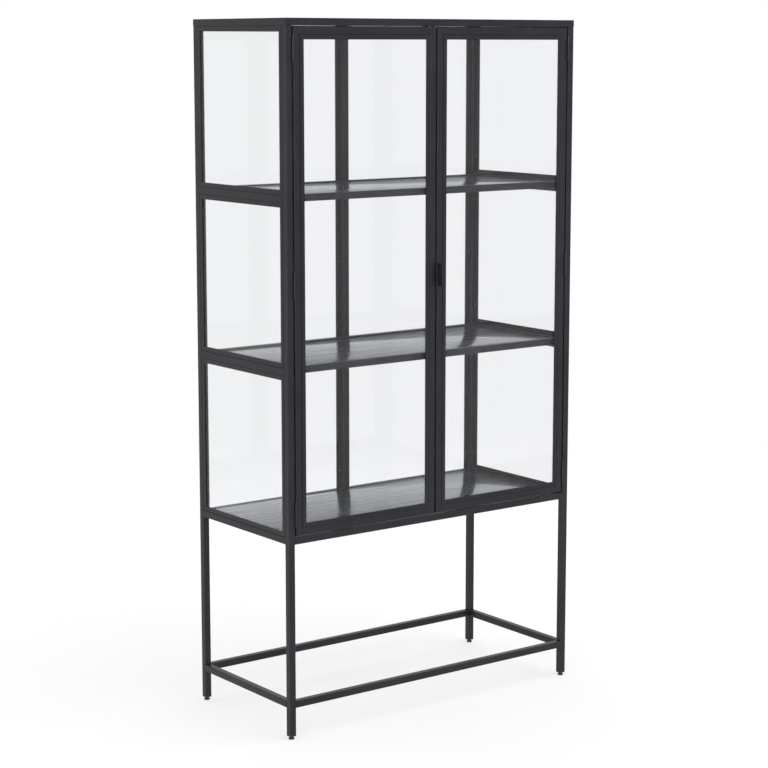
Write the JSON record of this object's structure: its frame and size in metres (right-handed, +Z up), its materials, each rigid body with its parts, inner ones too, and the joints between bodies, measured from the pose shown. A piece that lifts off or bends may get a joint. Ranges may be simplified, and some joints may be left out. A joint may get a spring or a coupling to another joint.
{
  "type": "display cabinet",
  "caption": "Tall glazed display cabinet: slim black square-tube frame on open legs, glass doors, glass sides and back, dark shelves inside.",
  "frame": {"origin": "on the floor, at the centre of the four legs", "axes": "+Z up, -Y towards the front with the doors, +X to the right seen from the front"},
  "size_m": [0.77, 0.3665, 1.5],
  "materials": {
    "powder_coat": "matte black powder coat",
    "clear_glass": "clear toughened glass",
    "black_board": "black stained ash, satin",
    "dark_steel": "black oxide",
    "black_plastic": "moulded",
    "magnet": "nickel plated",
    "zinc_plate": "zinc plated"
  },
  "bodies": {
    "frame": {"post_front_left": "powder_coat", "post_front_right": "powder_coat", "post_rear_left": "powder_coat", "post_rear_right": "powder_coat", "top_rail_front": "powder_coat", "top_rail_rear": "powder_coat", "top_rail_left": "powder_coat", "top_rail_right": "powder_coat", "floor_rail_front": "powder_coat", "floor_rail_rear": "powder_coat", "floor_rail_left": "powder_coat", "floor_rail_right": "powder_coat", "base_rail_front": "powder_coat", "base_rail_rear": "powder_coat", "base_rail_left": "powder_coat", "base_rail_right": "powder_coat", "left_cross_rails": "powder_coat", "right_cross_rails": "powder_coat", "lower_shelf_rails": "powder_coat", "upper_shelf_rails": "powder_coat", "rear_mullion": "powder_coat", "floor_board": "black_board", "lower_shelf": "black_board", "upper_shelf": "black_board", "top_board": "black_board", "board_tabs": "powder_coat", "left_glass_lower": "clear_glass", "left_glass_middle": "clear_glass", "left_glass_upper": "clear_glass", "right_glass_lower": "clear_glass", "right_glass_middle": "clear_glass", "right_glass_upper": "clear_glass", "rear_glass_left": "clear_glass", "rear_glass_right": "clear_glass", "left_glazing_strips": "powder_coat", "right_glazing_strips": "powder_coat", "rear_glazing_strips": "powder_coat", "frame_glass_clips": "powder_coat", "frame_clip_screws": "dark_steel", "foot_inserts": "black_plastic", "levelling_feet": "black_plastic", "catch_body": "black_plastic", "catch_magnets": "magnet", "hinge_frame_leaves": "powder_coat", "hinge_pins": "dark_steel"},
    "left_door": {"left_door_frame": "powder_coat", "left_door_glazing_strips": "powder_coat", "left_door_glass": "clear_glass", "left_door_glass_clips": "powder_coat", "left_door_clip_screws": "dark_steel", "left_door_hinge_leaves": "powder_coat", "left_door_strike": "zinc_plate"},
    "right_door": {"right_door_frame": "powder_coat", "right_door_glazing_strips": "powder_coat", "right_door_glass": "clear_glass", "right_door_glass_clips": "powder_coat", "right_door_clip_screws": "dark_steel", "right_door_hinge_leaves": "powder_coat", "right_door_strike": "zinc_plate", "door_pull": "powder_coat"}
  },
  "joints": [
    {"name": "left_door_hinge", "type": "hinge", "parent": "frame", "child": "left_door", "pos_m": [-0.368, -0.1767, 0.96], "axis": [0, 0, -1], "range_deg": [0, 170]},
    {"name": "right_door_hinge", "type": "hinge", "parent": "frame", "child": "right_door", "pos_m": [0.368, -0.1767, 0.96], "axis": [0, 0, 1], "range_deg": [0, 170]}
  ]
}
